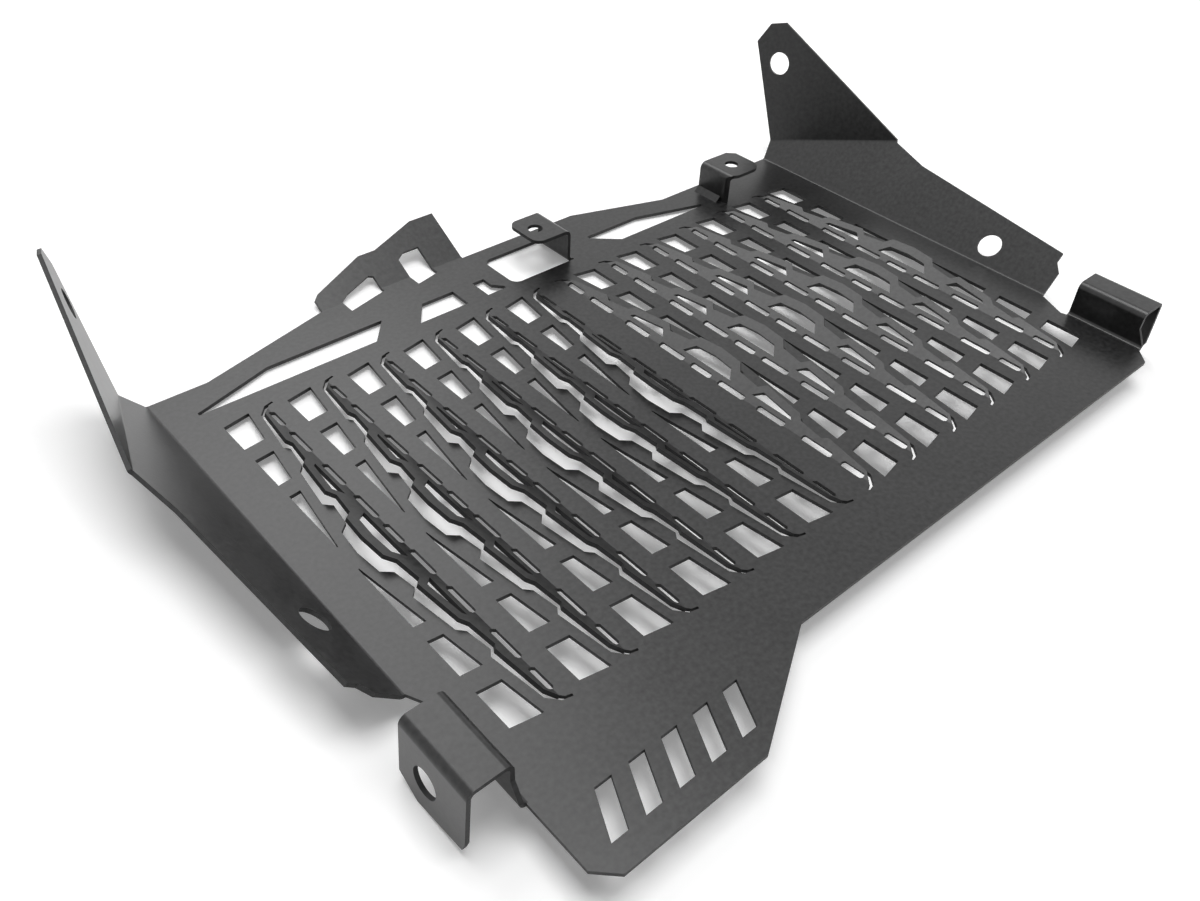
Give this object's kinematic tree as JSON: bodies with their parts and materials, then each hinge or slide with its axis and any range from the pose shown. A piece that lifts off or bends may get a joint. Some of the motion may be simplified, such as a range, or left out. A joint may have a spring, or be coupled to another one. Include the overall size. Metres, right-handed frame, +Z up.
{
  "type": "motorcycle radiator guard",
  "caption": "Folded sheet-steel guard with a louvred grille, two bent-up side wings with bolt ears, two hat brackets and two small screw tabs.",
  "frame": {"origin": "middle of the louvred field, on the upper face of the sheet (the face towards the radiator)", "axes": "+X right along the long side, +Y away from the near edge with the slotted tab, +Z up out of the sheet towards the radiator"},
  "size_m": [0.3842, 0.2787, 0.0747],
  "materials": {
    "black_coated_steel": "satin black powder coat"
  },
  "bodies": {
    "root": {"radiator_guard": "black_coated_steel"}
  },
  "joints": []
}
